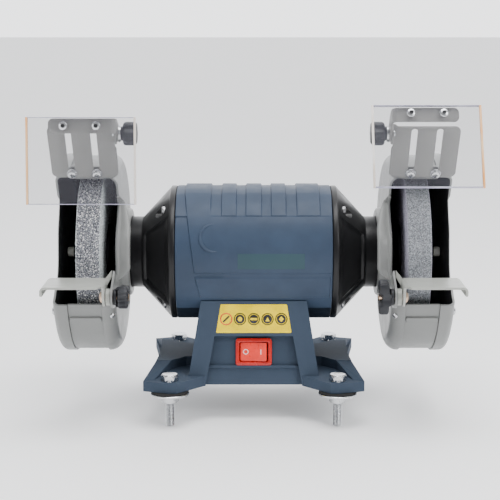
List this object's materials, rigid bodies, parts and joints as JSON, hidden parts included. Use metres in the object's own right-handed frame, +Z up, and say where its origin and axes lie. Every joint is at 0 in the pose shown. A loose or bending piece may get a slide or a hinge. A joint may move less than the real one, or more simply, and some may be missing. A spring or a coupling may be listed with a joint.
{
  "type": "bench grinder",
  "caption": "Double-wheel bench grinder: motor with guarded wheels at both ends, tilting tool rests, sliding spark plates, swinging eye shields and a rocker switch, on a bolted pedestal.",
  "frame": {"origin": "on the ground plane through the tips of the four foot bolts, under the middle of the whole object's box", "axes": "+Z up; +X along the spindle to the operator's right; -Y towards the operator"},
  "size_m": [0.3652, 0.2216, 0.275],
  "materials": {
    "blue_paint": "satin slate-blue paint on cast aluminium",
    "base_paint": "satin slate-blue paint with a fine cast texture",
    "black_paint": "semi-gloss black paint",
    "bearing_steel": "ground bearing steel",
    "black_plastic": "satin dark plastic",
    "switch_red": "gloss red plastic",
    "rocker_red": "gloss light red plastic",
    "zinc": "bright zinc plate",
    "rubber": "black moulded rubber",
    "core_iron": "stacked electrical sheet, varnished",
    "copper": "varnished copper winding",
    "shaft_steel": "turned steel",
    "coarse_grit": "coarse grey abrasive with sparkling grains",
    "fine_grit": "fine grey abrasive",
    "guard_paint": "satin light grey paint on pressed steel",
    "plate_paint": "satin grey paint on steel sheet",
    "rest_paint": "pale grey paint on pressed steel",
    "clear_pane": "clear polycarbonate with cut edges that glow warm"
  },
  "bodies": {
    "root": {"base": "base_paint", "base_cover": "black_paint", "bearing_outer_left": "bearing_steel", "bearing_outer_right": "bearing_steel", "cable_gland": "black_plastic", "capacitor": "black_plastic", "end_bell_left": "black_paint", "end_bell_right": "black_paint", "foot_bolt_front_left": "zinc", "foot_bolt_front_right": "zinc", "foot_bolt_rear_left": "zinc", "foot_bolt_rear_right": "zinc", "foot_nut_front_left": "zinc", "foot_nut_front_right": "zinc", "foot_nut_rear_left": "zinc", "foot_nut_rear_right": "zinc", "foot_pad_front_left": "rubber", "foot_pad_front_right": "rubber", "foot_pad_rear_left": "rubber", "foot_pad_rear_right": "rubber", "guard_inner_left": "guard_paint", "guard_inner_right": "guard_paint", "guard_outer_left": "guard_paint", "guard_outer_right": "guard_paint", "motor_housing": "blue_paint", "rest_bolt_left": "zinc", "rest_bolt_right": "zinc", "stator_core": "core_iron", "stator_winding_left": "copper", "stator_winding_right": "copper", "switch_frame": "switch_red"},
    "rotor": {"shaft": "shaft_steel", "rotor_core": "core_iron", "fan": "black_plastic", "bearing_inner_left": "bearing_steel", "bearing_inner_right": "bearing_steel", "inner_flange_left": "shaft_steel", "inner_flange_right": "shaft_steel", "wheel_left": "coarse_grit", "wheel_right": "fine_grit", "outer_flange_left": "shaft_steel", "outer_flange_right": "shaft_steel", "spindle_nut_left": "shaft_steel", "spindle_nut_right": "shaft_steel"},
    "rocker": {"rocker": "rocker_red"},
    "rest_clamp_left": {"rest_washer_left": "zinc"},
    "tool_rest_left": {"tool_rest_left": "rest_paint"},
    "rest_knob_left": {"rest_knob_left": "black_plastic"},
    "spark_plate_left": {"spark_plate_left": "plate_paint"},
    "shield_left": {"shield_bracket_left": "plate_paint", "eye_shield_left": "clear_pane"},
    "shield_knob_left": {"shield_knob_left": "black_plastic"},
    "rest_clamp_right": {"rest_washer_right": "zinc"},
    "tool_rest_right": {"tool_rest_right": "rest_paint"},
    "rest_knob_right": {"rest_knob_right": "black_plastic"},
    "spark_plate_right": {"spark_plate_right": "plate_paint"},
    "shield_right": {"shield_bracket_right": "plate_paint", "eye_shield_right": "clear_pane"},
    "shield_knob_right": {"shield_knob_right": "black_plastic"}
  },
  "joints": [
    {"name": "spindle_spin", "type": "hinge", "parent": "root", "child": "rotor", "pos_m": [0, 0.0208, 0.138], "axis": [1, 0, 0], "continuous": true},
    {"name": "rocker_tilt", "type": "hinge", "parent": "root", "child": "rocker", "pos_m": [0, -0.02855, 0.05856], "axis": [0, 0.1548, 0.9879], "range_deg": [0, 20]},
    {"name": "rest_tilt_left", "type": "hinge", "parent": "root", "child": "rest_clamp_left", "pos_m": [-0.1222, -0.0762, 0.117], "axis": [1, 0, 0], "range_deg": [-5, 20]},
    {"name": "rest_slide_left", "type": "slide", "parent": "rest_clamp_left", "child": "tool_rest_left", "axis": [0, -1, 0], "range_m": [-0.004, 0.008]},
    {"name": "rest_knob_turn_left", "type": "hinge", "parent": "root", "child": "rest_knob_left", "pos_m": [-0.1222, -0.0762, 0.117], "axis": [-1, 0, 0], "range_deg": [0, 270]},
    {"name": "spark_plate_slide_left", "type": "slide", "parent": "root", "child": "spark_plate_left", "axis": [0, 0.5446, -0.8387], "range_m": [0, 0.01]},
    {"name": "shield_swing_left", "type": "hinge", "parent": "spark_plate_left", "child": "shield_left", "pos_m": [-0.1126, -0.05801, 0.25017], "axis": [-1, 0, 0], "range_deg": [-11, 79]},
    {"name": "shield_knob_turn_left", "type": "hinge", "parent": "spark_plate_left", "child": "shield_knob_left", "pos_m": [-0.1126, -0.05801, 0.25017], "axis": [-1, 0, 0], "range_deg": [0, 270]},
    {"name": "rest_tilt_right", "type": "hinge", "parent": "root", "child": "rest_clamp_right", "pos_m": [0.1222, -0.0762, 0.117], "axis": [1, 0, 0], "range_deg": [-5, 20]},
    {"name": "rest_slide_right", "type": "slide", "parent": "rest_clamp_right", "child": "tool_rest_right", "axis": [0, -1, 0], "range_m": [-0.004, 0.008]},
    {"name": "rest_knob_turn_right", "type": "hinge", "parent": "root", "child": "rest_knob_right", "pos_m": [0.1222, -0.0762, 0.117], "axis": [1, 0, 0], "range_deg": [0, 270]},
    {"name": "spark_plate_slide_right", "type": "slide", "parent": "root", "child": "spark_plate_right", "axis": [0, 0.5446, -0.8387], "range_m": [0, 0.01]},
    {"name": "shield_swing_right", "type": "hinge", "parent": "spark_plate_right", "child": "shield_right", "pos_m": [0.1126, -0.05801, 0.25017], "axis": [-1, 0, 0], "range_deg": [-32, 58]},
    {"name": "shield_knob_turn_right", "type": "hinge", "parent": "spark_plate_right", "child": "shield_knob_right", "pos_m": [0.1126, -0.05801, 0.25017], "axis": [1, 0, 0], "range_deg": [0, 270]}
  ]
}
